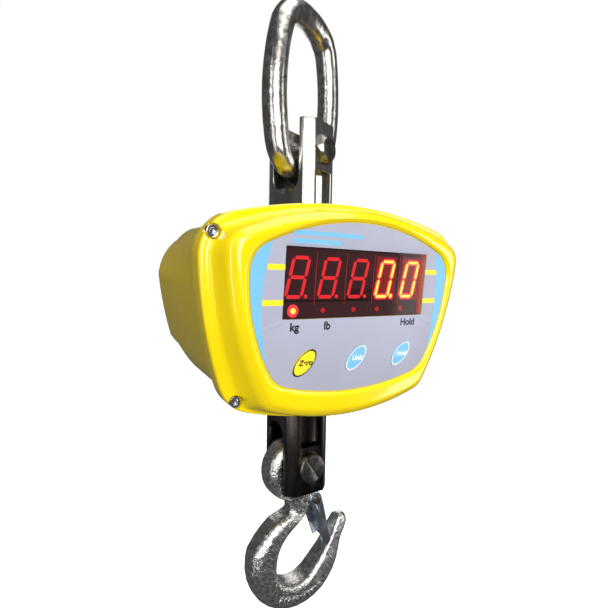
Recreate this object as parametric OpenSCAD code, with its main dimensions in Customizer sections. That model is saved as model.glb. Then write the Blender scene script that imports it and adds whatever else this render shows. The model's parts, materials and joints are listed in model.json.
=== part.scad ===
// Hanging crane scale: lifting ring, two clevis blocks on a load cell, display
// housing carried by the cell, swivel eye hook with a safety latch.
// Origin: where the crane's hook bears on the inside of the ring's top.
// +Z up, -Y is the side with the display. Millimetres.

/* [Lifting ring] */
// Diameter of the ring's bar
ring_bar = 22; // [20:0.5:23]
// Clear width inside the ring
ring_inner_w = 62; // [58:1:66]
// Clear height inside the ring
ring_inner_h = 122; // [116:1:130]
// Radius of the ring's top and bottom arcs, to the bar's centre line
ring_top_r = 52; // [48:1:56]
// Radius of the ring's four corners, to the bar's centre line
ring_corner_r = 27; // [25:1:29]
// Lean of the ring in its own plane, to the right
ring_lean = 2.8; // [0:0.2:4]
// Turn of the ring and its clevis about the column, from the housing's front
ring_turn = 22; // [0:1:30]

/* [Clevis blocks] */
// Width of a block, across its slotted sides
block_w = 44.5; // [42:0.5:48]
// Depth of a block, ear face to ear face
block_d = 52; // [50:0.5:56]
// Corner chamfer of a block
block_chamfer = 7.5; // [5:0.5:8]
// Width of the slot between the ears
slot_w = 28; // [27:0.5:29]
// Distance between the ring bolt's axis and the hook pin's axis
column_span = 288; // [284:1:294]

/* [Housing] */
// Half width of the flange at its widest
flange_half_w = 124.8; // [122:0.2:128]
// Height of the flange's top above the display's centre
flange_top = 60; // [58:1:64]
// Depth of the flange's bottom below the display's centre
flange_bottom = 109; // [106:0.5:112]
// Depth of the housing behind the display's face
housing_depth = 152; // [148:1:160]
// Forward lean of the whole housing, in degrees
tilt = 5; // [3:0.5:6]
// Wall thickness of the castings
wall = 3; // [2.5:0.5:4]

/* [Display] */
// Width of the display window
window_w = 137.5; // [136:0.5:140]
// Height of the display window
window_h = 51.5; // [50:0.5:54]
// Distance between neighbouring keys
key_pitch = 48; // [44:1:50]
// Depth of the keys below the display's centre
key_drop = 58; // [56:1:60]

/* [Hook] */
// Outer radius of the hook's bowl
bowl_outer_r = 51.5; // [50:0.5:53]
// Inner radius of the hook's bowl
bowl_inner_r = 23; // [22:0.5:24]
// Distance from the pin's axis down to the bowl's centre
bowl_drop = 94; // [92:0.5:97]
// Thickness of the hook
hook_t = 26; // [24:0.5:26]

/* [Hidden] */
$fn = 64;
eps = 0.01;
// Running clearance on radius, and the gap kept where curved faces meet
run = 0.1;
gap = 0.3;

// Column heights
bolt_r = 8;
pin_r = 9;
// The bolt hangs under the ring's top arc, which stays on the origin as the ring leans
ring_inner_top_r = ring_top_r - ring_bar / 2;
ring_arm = ring_inner_h - bolt_r - gap - ring_inner_top_r;
bolt_z = -ring_arm * cos(ring_lean)
         - sqrt(pow(ring_inner_top_r, 2) - pow(ring_arm * sin(ring_lean), 2));
pin_z = bolt_z - column_span;
axis_to_end = 25;
axis_to_pocket = 19;
axis_to_slot = 39;
pocket_w = 23;
pocket_depth = 10;
nut_room_r = 14;
stud_r = 8;
end_wall = 20;

// Housing frame: the display's centre, and depths behind its face
face_y = -92;
face_z = bolt_z - 119;
flange_front = 17;
flange_back = 30;
gasket_t = 1;
rear_flange_t = 4;
rear_inset = 5.5;
crown_rise = 2;
overlay_t = 0.8;
roof_drop = 7;
opening_r = 33;
collar_wall = 4;

// Load cell
cell_w = 51;
cell_h = 64;
cell_t = 25;
cell_top = face_z + 27;
bracket_t = 4;
upper_inner_end = cell_top + bracket_t + 2;
lower_inner_end = cell_top - cell_h - 6;
swivel_nut_h = 13;
washer_t = 3;

// Fastener places on the flange, from the display's centre
screw_spots = [[114.8, 32], [93, -87.5]];
land = 5;
digit_count = 5;
digit_pitch = window_w / digit_count;

// Hook
eye_centre = [-4, -8];
eye_r = 30.5;
bowl_shift = -1;
neck_left = -9.9;
neck_right = 12;
latch_pivot = [17.5, -41];
latch_end = [32, -89.5];
latch_len = norm(latch_end - latch_pivot);
latch_angle = atan2(latch_end[1] - latch_pivot[1], latch_end[0] - latch_pivot[0]);
latch_boss_r = 6.5;
latch_tip_r = 3.2;
latch_inner_y = 10.3;
latch_sheet = 1.8;
lug_half_t = 10;

// ---------- shared shapes ----------

// A cylinder along Y, centred on its length
module along_y(r, h) {
    rotate([90, 0, 0]) cylinder(r = r, h = h, center = true);
}

// A 2D outline in X and Z, made solid between two depths
module slab(y0, y1) {
    translate([0, y1, 0]) rotate([90, 0, 0]) linear_extrude(y1 - y0) children();
}

// Places its children in the housing's own leaning frame
module in_housing() {
    translate([0, face_y, face_z]) rotate([tilt, 0, 0]) children();
}

// Turns its children with the ring and the upper clevis
module with_ring() {
    rotate([0, 0, ring_turn]) children();
}

// Face outline bounded by a top arc, a bottom arc and two side arcs
module face_shape(half_w, widest, top, bottom, top_r, side_r, bottom_r, corner_r) {
    offset(r = corner_r, $fn = 48)
    offset(delta = -corner_r)
    intersection() {
        translate([0, top - top_r]) circle(top_r, $fn = 180);
        translate([0, bottom_r - bottom]) circle(bottom_r, $fn = 180);
        translate([half_w - side_r, widest]) circle(side_r, $fn = 180);
        translate([side_r - half_w, widest]) circle(side_r, $fn = 180);
    }
}

module flange_shape(inset = 0, corner_r = 32) {
    face_shape(flange_half_w - inset, 40, flange_top - inset, flange_bottom - inset,
               385, 360, 305, corner_r);
}

module bezel_foot_shape(inset = 0) {
    face_shape(116 - inset, 36, 55 - inset, 106.5 - inset, 300, 300, 260, 22);
}

module bezel_crown_shape(inset = 0) {
    face_shape(109 - inset, 36, 53 - inset, 103 - inset, 270, 253, 215, 17);
}

module overlay_shape(inset = 0) {
    face_shape(95 - inset, 6, 46 - inset, 83.5 - inset, 190, 140, 235, 22);
}

module key_shape(grow = 0) {
    rotate([0, 0, 45]) scale([1, 0.55]) circle(12 + grow, $fn = 48);
}

module key_shapes(grow = 0) {
    for (k = [-1 : 1]) translate([k * key_pitch, -key_drop]) key_shape(grow);
}

module window_shape(inset = 0) {
    square([window_w - 2 * inset, window_h - 2 * inset], center = true);
}

module hex_head(across_flats, h) {
    cylinder(d = across_flats / cos(30), h = h, $fn = 6);
}

// A round lead that follows a list of points
module lead(points, r) {
    for (i = [0 : len(points) - 2]) {
        step = points[i + 1] - points[i];
        translate(points[i])
            rotate([0, acos(step[2] / norm(step)), atan2(step[1], step[0])])
            cylinder(r = r, h = norm(step), $fn = 16);
    }
    for (i = [1 : len(points) - 2]) translate(points[i]) sphere(r = 1.1 * r, $fn = 16);
}

// ---------- lifting ring, clevis blocks and their pins ----------

// One arc of the ring's bar
module ring_arc(centre, r, from, to, bar = ring_bar) {
    translate([centre[0], centre[1], 0]) rotate([0, 0, from])
        rotate_extrude(angle = to - from)
        translate([r, 0]) circle(d = bar, $fn = 48);
}

// A corner of the ring, a hair thinner so that it ends inside its neighbours
module ring_corner(centre, from, to) {
    ring_arc(centre, ring_corner_r, from - 1.5, to + 1.5, ring_bar - 0.2);
}

// Oval of top, corner and side arcs that run smoothly into each other
module lifting_ring() {
    half_w = (ring_inner_w + ring_bar) / 2;
    half_h = (ring_inner_h + ring_bar) / 2;
    side_r = 190;
    top_c = [0, half_h - ring_top_r];
    side_c = [half_w - side_r, 0];
    apart = norm(top_c - side_c);
    way = (top_c - side_c) / apart;
    along = (pow(side_r - ring_corner_r, 2) - pow(ring_top_r - ring_corner_r, 2)
             + apart * apart) / (2 * apart);
    across = sqrt(pow(side_r - ring_corner_r, 2) - along * along);
    corner_c = side_c + along * way + across * [-way[1], way[0]];
    top_a = atan2(corner_c[1] - top_c[1], corner_c[0]);
    side_a = atan2(corner_c[1], corner_c[0] - side_c[0]);
    color("gainsboro")
    with_ring() translate([0, 0, bolt_z]) rotate([0, ring_lean, 0])
    translate([0, 0, half_h - ring_bar / 2 - bolt_r - gap]) rotate([90, 0, 0])
    for (s = [0, 180]) rotate([0, 0, s]) {
        ring_arc(top_c, ring_top_r, top_a, 180 - top_a);
        ring_corner(corner_c, side_a, top_a);
        ring_corner([-corner_c[0], corner_c[1]], 180 - top_a, 180 - side_a);
        ring_arc(side_c, side_r, -side_a, side_a);
    }
}

// Plan of a block, with its four corners chamfered
module block_plan() {
    x = block_w / 2;
    y = block_d / 2;
    c = block_chamfer;
    polygon([[-x, c - y], [c - x, -y], [x - c, -y], [x, c - y],
             [x, y - c], [x - c, y], [c - x, y], [-x, y - c]]);
}

// A clevis block with its pin axis at the origin and its ears pointing up,
// its rear ear sunk for what holds the pin
module clevis_block(length, hole_r, sink_r, sink_depth) {
    inner_end = axis_to_end - length;
    difference() {
        translate([0, 0, inner_end]) linear_extrude(length) block_plan();
        translate([-block_w, -slot_w / 2, slot_w / 2 - axis_to_slot])
            cube([2 * block_w, slot_w, 2 * axis_to_slot]);
        translate([-block_w, 0, slot_w / 2 - axis_to_slot]) rotate([0, 90, 0])
            cylinder(d = slot_w, h = 2 * block_w);
        translate([0, 0, inner_end + end_wall])
            cylinder(r = nut_room_r, h = length - end_wall - axis_to_end);
        translate([0, 0, inner_end - 1]) cylinder(r = stud_r + run, h = length / 2);
        along_y(hole_r, block_d + 2);
        slab(block_d / 2 - sink_depth, block_d / 2 + 1) circle(r = sink_r);
        for (s = [-1, 1])
            translate([-pocket_w / 2, s * (block_d / 2 - pocket_depth / 2) - pocket_depth / 2 - 1,
                       inner_end + 8])
            translate([0, s > 0 ? 1 : 0, 0])
            cube([pocket_w, pocket_depth + 1, -inner_end - 8 - axis_to_pocket]);
    }
}

module upper_clevis() {
    color("silver")
    with_ring() translate([0, 0, bolt_z])
        clevis_block(bolt_z + axis_to_end - upper_inner_end, bolt_r, ring_nut_r + eps, ring_nut_h);
}

module lower_clevis() {
    color("dimgray")
    translate([0, 0, pin_z]) mirror([0, 0, 1])
        clevis_block(lower_inner_end - pin_z + axis_to_end, pin_r, snap_sink_r, snap_sink);
}

ring_nut_r = 10.5;
ring_nut_h = 5;
bolt_head_h = 6;

module ring_bolt() {
    color("silver")
    with_ring() translate([0, -block_d / 2, bolt_z]) rotate([-90, 0, 0]) {
        cylinder(r = bolt_r, h = block_d - 0.5);
        translate([0, 0, -bolt_head_h]) intersection() {
            hex_head(24, bolt_head_h);
            cylinder(r1 = 9.9, r2 = 15, h = bolt_head_h);
        }
    }
}

// Round nut, sunk flush in the rear ear, with two holes for a pin spanner
module ring_nut() {
    color("silver")
    with_ring() translate([0, block_d / 2 - ring_nut_h, bolt_z]) rotate([-90, 0, 0])
    difference() {
        cylinder(r = ring_nut_r, h = ring_nut_h - 0.2);
        translate([0, 0, -1]) cylinder(r = bolt_r, h = ring_nut_h + 2);
        for (s = [-1, 1]) translate([s * 9.2, 0, 2]) cylinder(r = 0.7, h = ring_nut_h, $fn = 24);
    }
}

pin_head_h = 4.5;
snap_sink_r = 13;
snap_sink = 4.5;
snap_t = 1.6;
groove_r = 7.8;

module hook_pin() {
    ring_y = block_d - snap_sink;
    color("silver")
    translate([0, -block_d / 2, pin_z]) rotate([-90, 0, 0])
    difference() {
        union() {
            cylinder(r = pin_r, h = block_d - 0.8);
            translate([0, 0, -pin_head_h]) cylinder(r1 = 12.2, r2 = 13, h = 1);
            translate([0, 0, 1 - pin_head_h]) cylinder(r = 13, h = pin_head_h - 1);
        }
        rotate([0, 0, 55]) translate([-15, -0.9, -pin_head_h - 1]) cube([30, 1.8, 1.8]);
        translate([0, 0, ring_y]) difference() {
            cylinder(r = pin_r + 1, h = snap_t);
            translate([0, 0, -1]) cylinder(r = groove_r, h = snap_t + 2);
        }
    }
}

// Open spring ring in the pin's groove, with two eyes for the pliers
module snap_ring() {
    color("silver")
    translate([0, block_d / 2 - snap_sink, pin_z]) rotate([-90, 0, 0]) difference() {
        union() {
            cylinder(r = 11, h = snap_t);
            for (s = [-1, 1]) rotate([0, 0, 20 * s]) translate([10.4, 0, 0])
                cylinder(r = 2.2, h = snap_t, $fn = 32);
        }
        translate([0, 0, -1]) cylinder(r = groove_r, h = snap_t + 2);
        translate([0, -1.6, -1]) cube([20, 3.2, snap_t + 2]);
        for (s = [-1, 1]) rotate([0, 0, 20 * s]) translate([10.6, 0, -1])
            cylinder(r = 0.9, h = snap_t + 2, $fn = 24);
    }
}

// ---------- load cell and what joins it to the blocks ----------

module load_cell() {
    cut = 5;
    color("lightsteelblue")
    translate([0, 0, cell_top - cell_h / 2])
    difference() {
        cube([cell_w, cell_t, cell_h], center = true);
        for (s = [-1, 1])
            translate([s * cell_w / 4 + s * 2, 0, s * cell_h / 5])
            cube([cell_w / 2 + 14, cell_t + 2, cut], center = true);
        along_y(10, cell_t + 2);
        for (s = [0, 180]) rotate([s, 0, 0])
            translate([0, 0, cell_h / 2 - 15]) cylinder(r = stud_r, h = 16);
    }
}

module gauge_covers() {
    color("gray")
    translate([0, 0, cell_top - cell_h / 2])
    for (s = [-1, 1]) translate([0, s * (cell_t / 2 + 0.75), 0]) along_y(11.5, 1.5);
}

// A swivel stud, from inside the cell to past its nut
module stud(from_cell) {
    reach = end_wall + washer_t + swivel_nut_h + 4 + from_cell;
    cylinder(r = stud_r, h = reach + 14);
}

module upper_stud() {
    color("darkgray")
    translate([0, 0, cell_top - 14]) stud(upper_inner_end - cell_top);
}

module lower_stud() {
    color("darkgray")
    translate([0, 0, cell_top - cell_h + 14]) mirror([0, 0, 1])
        stud(cell_top - cell_h - lower_inner_end);
}

// Round slotted nut, held on its stud
module swivel_nut() {
    difference() {
        cylinder(r = nut_room_r - 1, h = swivel_nut_h);
        translate([0, 0, -1]) cylinder(r = stud_r, h = swivel_nut_h + 2);
        translate([-20, -2.5, swivel_nut_h - 4]) cube([40, 5, 5]);
    }
}

module upper_swivel_nut() {
    color("silver")
    translate([0, 0, upper_inner_end + end_wall + washer_t]) swivel_nut();
}

module lower_swivel_nut() {
    color("silver")
    translate([0, 0, lower_inner_end - end_wall - washer_t]) mirror([0, 0, 1]) swivel_nut();
}

module thrust_washers() {
    color("goldenrod")
    for (z = [upper_inner_end + end_wall, lower_inner_end - end_wall - washer_t])
        translate([0, 0, z]) difference() {
            cylinder(r = nut_room_r - 1, h = washer_t);
            translate([0, 0, -1]) cylinder(r = stud_r + gap, h = washer_t + 2);
        }
}

bracket_half_w = 78;
bracket_screw_x = 68;
shelf_front_y = -12;

module cell_bracket() {
    color("lightgray")
    translate([0, 0, cell_top]) difference() {
        translate([-bracket_half_w, shelf_front_y, 0])
            cube([2 * bracket_half_w, 24, bracket_t]);
        translate([0, 0, -1]) cylinder(r = stud_r + run, h = bracket_t + 2);
        for (s = [-1, 1]) translate([s * bracket_screw_x, 0, -1])
            cylinder(r = 2.7, h = bracket_t + 2);
    }
}

module bracket_screws() {
    color("silver")
    for (s = [-1, 1]) translate([s * bracket_screw_x, 0, cell_top]) {
        translate([0, 0, -9]) cylinder(r = 2.5, h = 9 + bracket_t);
        translate([0, 0, bracket_t]) hex_head(8, 3.5);
    }
}

// ---------- housing ----------

screw_seat = flange_front + 5.5;

module front_shell() {
    color("gold")
    in_housing() difference() {
        union() {
            slab(flange_front + 3, flange_back) flange_shape();
            hull() {
                slab(flange_front + 2, flange_front + 3) flange_shape();
                slab(flange_front, flange_front + 1) flange_shape(3);
            }
            hull() {
                slab(flange_front - 1, flange_front + 1) bezel_foot_shape();
                slab(2, 3) bezel_crown_shape(-2);
                slab(-crown_rise, 1 - crown_rise) bezel_crown_shape(4);
            }
        }
        hull() {
            slab(flange_back, flange_back + 1) bezel_foot_shape(wall + land);
            slab(overlay_t + wall, overlay_t + wall + 1) bezel_crown_shape(wall);
        }
        slab(-crown_rise - 1, overlay_t) overlay_shape(-gap);
        slab(0, overlay_t + wall + 1) window_shape();
        slab(0, overlay_t + wall + 1) key_shapes(gap);
        for (p = screw_spots, s = [-1, 1]) translate([s * p[0], 15, p[1]]) {
            along_y(2.75, 40);
            translate([0, screw_seat - 25, 0]) along_y(5.2, 20);
        }
    }
}

module housing_gasket() {
    color("black")
    in_housing() difference() {
        slab(flange_back, flange_back + gasket_t) flange_shape(1.5);
        slab(0, 60) bezel_foot_shape(wall + land);
        for (p = screw_spots, s = [-1, 1]) translate([s * p[0], 20, p[1]])
            along_y(2.75, 40);
    }
}

// Side profile of the rear shell: the roof falls to the back, the back wall stands
// on a ledge, and the underside slopes forward from there
module rear_profile() {
    front = flange_back - 20;
    top = flange_top - rear_inset;
    foot = flange_bottom - rear_inset;
    pitch = roof_drop / (housing_depth - flange_back);
    polygon([[front, top + 20 * pitch], [housing_depth, top - roof_drop],
             [housing_depth, -64], [housing_depth - 5, -67.5], [133, -69.5], [122, -73],
             [110, -84], [100, -92.5], [86, -foot], [front, -foot]]);
}

// The rear shell's solid form, rounded at its back edge
module rear_form(inset, from) {
    intersection() {
        hull() {
            slab(from, from + 1) flange_shape(rear_inset + inset);
            slab(housing_depth - 12, housing_depth - 6 - inset)
                flange_shape(rear_inset + inset + 0.5, 44);
            slab(housing_depth - 6 - inset, housing_depth - inset)
                flange_shape(rear_inset + inset + 5, 44);
        }
        translate([-200, 0, 0]) rotate([90, 0, 90]) linear_extrude(400)
            offset(delta = -inset) rear_profile();
    }
}

module rear_shell() {
    rear_front = flange_back + gasket_t;
    color("gold")
    difference() {
        union() {
            in_housing() {
                difference() {
                    union() {
                        rear_form(0, rear_front);
                        slab(rear_front, rear_front + rear_flange_t) flange_shape(1);
                    }
                    rear_form(wall, rear_front + rear_flange_t);
                    slab(rear_front - 1, rear_front + rear_flange_t + 1)
                        bezel_foot_shape(wall + land);
                    for (p = screw_spots, s = [-1, 1])
                        translate([s * p[0], rear_front + 2, p[1]]) along_y(2.6, 8);
                    translate([-door_w / 2 + 4, housing_depth - 20, door_z - door_h / 2 + 4])
                        cube([door_w - 8, 30, door_h - 8]);
                    translate([socket_x, housing_depth, socket_z]) along_y(6.2, 30);
                    for (sx = [-1, 1], sz = [-1, 1])
                        translate([sx * (door_w / 2 - 1.5 + 6), housing_depth,
                                   door_z + sz * (door_h / 2 - 8)])
                        along_y(1.6, 30);
                }
            }
            translate([0, 0, face_z + 50]) cylinder(r = opening_r + collar_wall, h = 16);
            translate([0, 0, face_z - 101.5]) cylinder(r = opening_r + collar_wall, h = 53);
            for (s = [-1, 1]) translate([s * bracket_screw_x - 8, shelf_front_y, cell_top - 12])
                cube([16, 68, 12]);
        }
        for (z = [face_z + 40, face_z - 106]) translate([0, 0, z])
            cylinder(r = opening_r, h = 60);
        for (s = [-1, 1]) translate([s * bracket_screw_x, 0, cell_top - 10])
            cylinder(r = 2.6, h = 12);
    }
}

module shell_screws() {
    color("silver")
    in_housing() for (p = screw_spots, s = [-1, 1]) translate([s * p[0], 0, p[1]]) {
        difference() {
            slab(screw_seat - 5, screw_seat) circle(r = 4.25);
            slab(screw_seat - 6, screw_seat - 2.5) circle(d = 4 / cos(30), $fn = 6);
        }
        slab(screw_seat, flange_back + gasket_t + rear_flange_t) circle(r = 2.5);
    }
}

// Rubber lip ring in a collar, round the clevis block
module seal(z) {
    color("black")
    translate([0, 0, z]) difference() {
        cylinder(r = opening_r, h = 5);
        translate([0, 0, -1]) cylinder(r = 30.5, h = 7);
    }
}

module upper_seal() { seal(face_z + 59); }
module lower_seal() { seal(face_z - 99.5); }

module overlay() {
    color("lightsteelblue")
    in_housing() difference() {
        slab(0, overlay_t) overlay_shape();
        slab(-1, overlay_t + 1) window_shape();
        slab(-1, overlay_t + 1) key_shapes(gap);
    }
}

window_t = 2.5;

module display_window() {
    color("maroon")
    in_housing() slab(0.3, 0.3 + window_t) window_shape(gap);
}

digit_front = 0.3 + window_t;
digit_t = 9;
strip_h = 13;

module digit_modules() {
    color("firebrick")
    in_housing() for (i = [0 : digit_count - 1])
        translate([(i - (digit_count - 1) / 2) * digit_pitch, 0, strip_h / 2])
        slab(digit_front, digit_front + digit_t)
        square([digit_pitch - 0.4, window_h - strip_h - 1], center = true);
}

led_spots = [-59, -33, -4, 20, 46];

module indicator_leds() {
    color("red")
    in_housing() for (x = led_spots) translate([x, 0, -20])
        slab(digit_front, digit_front + digit_t) circle(r = 2.5);
}

display_board_y = digit_front + digit_t;
board_t = 1.6;
board_spots = [[78, 22], [78, -66]];
main_board_y = display_board_y + board_t + 16;

module display_board() {
    color("darkgreen")
    in_housing() difference() {
        translate([-84, display_board_y, -74]) cube([168, board_t, 101]);
        for (p = board_spots, s = [-1, 1]) translate([s * p[0], display_board_y, p[1]])
            along_y(1.6, 20);
    }
}

module board_spacers() {
    color("white")
    in_housing() for (p = board_spots, s = [-1, 1]) translate([s * p[0], 0, p[1]]) {
        slab(overlay_t + wall, display_board_y) circle(r = 3.5);
        slab(display_board_y + board_t, main_board_y) difference() {
            circle(r = 3.5);
            circle(r = 1.6);
        }
    }
}

module main_board() {
    color("green")
    in_housing() difference() {
        translate([-84, main_board_y, -74]) cube([168, board_t, 101]);
        for (p = board_spots, s = [-1, 1]) translate([s * p[0], main_board_y, p[1]])
            along_y(1.6, 20);
    }
}

module board_screws() {
    color("silver")
    in_housing() for (p = board_spots, s = [-1, 1]) translate([s * p[0], 0, p[1]]) {
        slab(display_board_y, main_board_y + board_t) circle(r = 1.5);
        slab(main_board_y + board_t, main_board_y + board_t + 2) circle(r = 2.8);
    }
}

module board_link() {
    color("black")
    in_housing() translate([-20, display_board_y + board_t, 0])
        cube([40, main_board_y - display_board_y - board_t, 5]);
}

key_travel = 0.5;
key_rise = 0.6;
plunger_end = overlay_t + wall + 0.5;

module key_switches() {
    color("black")
    in_housing() for (k = [-1 : 1]) translate([k * key_pitch, 0, -key_drop]) {
        slab(plunger_end + key_travel + 2.5, display_board_y) square(9, center = true);
        slab(plunger_end + key_travel, plunger_end + key_travel + 2.5) circle(r = 2);
    }
}

// One key: the printed pad and the plunger behind it
module key(k, tint) {
    color(tint)
    in_housing() translate([k * key_pitch, 0, -key_drop]) {
        slab(-key_rise, overlay_t) key_shape();
        slab(overlay_t, plunger_end) circle(r = 3);
    }
}

module key_zero() { key(-1, "yellow"); }
module key_units() { key(0, "skyblue"); }
module key_hold() { key(1, "skyblue"); }

module buzzer() {
    color("black")
    in_housing() translate([50, main_board_y + board_t + 4, 2]) along_y(7, 8);
}

// ---------- battery, door and charging ----------

door_w = 124;
door_h = 46;
door_z = 8;
cell_r = 11;
cell_count = 5;

module battery() {
    color("royalblue")
    in_housing() for (i = [0 : cell_count - 1])
        translate([(i - (cell_count - 1) / 2) * (2 * cell_r - 0.4),
                   housing_depth - 3 - cell_r - 1, door_z - 20])
        cylinder(r = cell_r, h = 40);
}

module battery_door() {
    color("gold")
    in_housing() difference() {
        union() {
            translate([-door_w / 2 - 8, housing_depth, door_z - door_h / 2])
                cube([door_w + 16, 2.5, door_h]);
            translate([-door_w / 2 + 4.5, housing_depth - 2, door_z - door_h / 2 + 4.5])
                cube([door_w - 9, 2 + eps, door_h - 9]);
        }
        for (sx = [-1, 1], sz = [-1, 1])
            translate([sx * (door_w / 2 + 4.5), housing_depth, door_z + sz * (door_h / 2 - 8)])
            along_y(1.6, 20);
    }
}

module door_screws() {
    color("silver")
    in_housing() for (sx = [-1, 1], sz = [-1, 1])
        translate([sx * (door_w / 2 + 4.5), 0, door_z + sz * (door_h / 2 - 8)]) {
            slab(housing_depth - 5, housing_depth + 2.5) circle(r = 1.5);
            slab(housing_depth + 2.5, housing_depth + 4.3) circle(r = 2.8);
        }
}

socket_x = 88;
socket_z = 6;

module charge_socket() {
    color("black")
    in_housing() translate([socket_x, 0, socket_z]) difference() {
        union() {
            slab(housing_depth - 14, housing_depth) circle(r = 6);
            slab(housing_depth, housing_depth + 2) circle(r = 9);
        }
        slab(housing_depth - 10, housing_depth + 3) circle(r = 2.8);
    }
}

cap_hinge_y = housing_depth + 4.2;
cap_hinge_z = socket_z + 12;

// Rubber flap that hangs over the socket
module socket_cap() {
    color("dimgray")
    in_housing() {
        translate([socket_x, 0, socket_z])
            slab(housing_depth + 2.3, housing_depth + 4.5) circle(r = 8.5);
        translate([socket_x, 0, socket_z])
            slab(housing_depth + 1, housing_depth + 2.3) circle(r = 2.3);
        translate([socket_x - 3, housing_depth + 2.3, socket_z])
            cube([6, 2.2, cap_hinge_z - socket_z]);
        translate([socket_x, cap_hinge_y, cap_hinge_z]) rotate([0, 90, 0])
            cylinder(r = 2, h = 10, center = true);
    }
}

lead_r = 2;

module cell_lead() {
    cell_mid = cell_top - cell_h / 2;
    color("black")
    lead([[cell_w / 2, 0, cell_mid + 12], [38, 0, cell_mid + 12], [48, -14, cell_mid + 10],
          [48, -34, cell_mid + 4], [40, -42, cell_mid], [40, -60, cell_mid]], lead_r);
}

module battery_lead() {
    battery_z = face_z + 7;
    color("firebrick")
    lead([[-55, 45, battery_z], [-67, 38, battery_z - 5], [-70, 3, battery_z - 21],
          [-59, -34, battery_z - 28], [-50, -58, battery_z - 33]], lead_r);
}

// ---------- hook and latch ----------

// Outer outline of the hook, its throat still filled, from the pin's axis
module hook_outline() {
    intersection() {
        translate([0, -bowl_drop]) circle(bowl_outer_r, $fn = 120);
        polygon([[-90, -78], [-49.4, -78], [-40, -60], [60, -60], [90, -90], [90, -200],
                 [-90, -200]]);
    }
    polygon([[neck_left, -15], [neck_left, -50], [-29, -56], [-41.5, -68.6],
             [-49.4, -78.7], [-50.5, -90], [30, -100], [46, -68], [neck_right, -52],
             [neck_right, -15]]);
    // Lug for the latch's pin
    hull() {
        translate(latch_pivot) circle(6.5);
        translate([neck_right - 6, latch_pivot[1]]) circle(9);
    }
    // Tip
    hull() {
        translate([42.9, -bowl_drop]) circle(8.6);
        translate([54, -74.3]) circle(7.5);
    }
}

// Throat and bowl opening
module hook_throat() {
    translate([bowl_shift, -97.5]) circle(bowl_inner_r, $fn = 96);
    polygon([[-24, -98], [-22.5, -86.8], [-17.7, -75.6], [-9.2, -66.8], [2.5, -58.6],
             [neck_right, -52], [16, -45], [30, -45], [46.5, -60], [46.3, -72], [34, -94],
             [13.8, -115]]);
}

module hook() {
    color("gainsboro")
    translate([0, 0, pin_z]) difference() {
        union() {
            difference() {
                union() {
                    slab(-8, 8) hook_outline();
                    slab(-lug_half_t, lug_half_t) offset(delta = -1.5) hook_outline();
                    slab(-hook_t / 2, hook_t / 2) difference() {
                        offset(delta = -4) hook_outline();
                        translate(latch_pivot) circle(11);
                    }
                }
                slab(-hook_t, hook_t) difference() {
                    hook_throat();
                    translate(latch_pivot) circle(6.5);
                }
            }
            translate([eye_centre[0], 0, eye_centre[1]]) along_y(eye_r, hook_t - 1);
        }
        along_y(pin_r + run, hook_t + 4);
        translate([latch_pivot[0], 0, latch_pivot[1]]) along_y(3, hook_t + 4);
    }
}

module latch_pin() {
    half = latch_inner_y + latch_sheet + 1.6;
    color("silver")
    translate([latch_pivot[0], 0, pin_z + latch_pivot[1]]) {
        along_y(2.9, 2 * half);
        for (s = [-1, 1]) translate([0, s * (half - 0.6), 0]) along_y(4.2, 1.2);
    }
}

// Bent sheet latch: two cheeks joined by a web on the outer side
module latch() {
    taper = asin(latch_boss_r / norm([latch_len, latch_tip_r])) - atan(latch_tip_r / latch_len);
    color("lightgray")
    translate([latch_pivot[0], 0, pin_z + latch_pivot[1]]) rotate([0, -latch_angle, 0])
    difference() {
        union() {
            for (s = [-1, 1])
                translate([0, s * (latch_inner_y + latch_sheet / 2), 0]) hull() {
                    along_y(latch_boss_r, latch_sheet);
                    translate([latch_len - 1, -latch_sheet / 2, -latch_tip_r])
                        cube([1, latch_sheet, 2 * latch_tip_r]);
                }
            rotate([0, taper, 0])
                translate([13, -latch_inner_y - latch_sheet / 2, latch_boss_r - latch_sheet])
                cube([latch_len - 13.5, 2 * latch_inner_y + latch_sheet, latch_sheet]);
        }
        along_y(2.9 + run, 60);
    }
}

module latch_spring() {
    wire = 0.6;
    color("silver")
    translate([latch_pivot[0], 0, pin_z + latch_pivot[1]]) rotate([0, -latch_angle, 0])
        translate([15, 0, -0.2]) rotate([90, 0, 0])
        for (i = [-2 : 2]) translate([0, 0, i * 1.8])
            rotate_extrude() translate([2.7, 0]) circle(r = wire, $fn = 16);
}

lifting_ring();
upper_clevis();
ring_bolt();
ring_nut();
load_cell();
gauge_covers();
upper_stud();
lower_stud();
upper_swivel_nut();
lower_swivel_nut();
thrust_washers();
cell_bracket();
bracket_screws();
front_shell();
rear_shell();
housing_gasket();
shell_screws();
upper_seal();
lower_seal();
overlay();
display_window();
digit_modules();
indicator_leds();
display_board();
board_spacers();
main_board();
board_screws();
board_link();
key_switches();
buzzer();
key_zero();
key_units();
key_hold();
battery();
battery_door();
door_screws();
charge_socket();
socket_cap();
cell_lead();
battery_lead();
lower_clevis();
hook_pin();
snap_ring();
hook();
latch_pin();
latch();
latch_spring();
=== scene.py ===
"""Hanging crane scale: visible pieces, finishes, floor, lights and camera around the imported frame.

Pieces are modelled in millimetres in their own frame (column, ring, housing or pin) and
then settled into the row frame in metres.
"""

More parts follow.
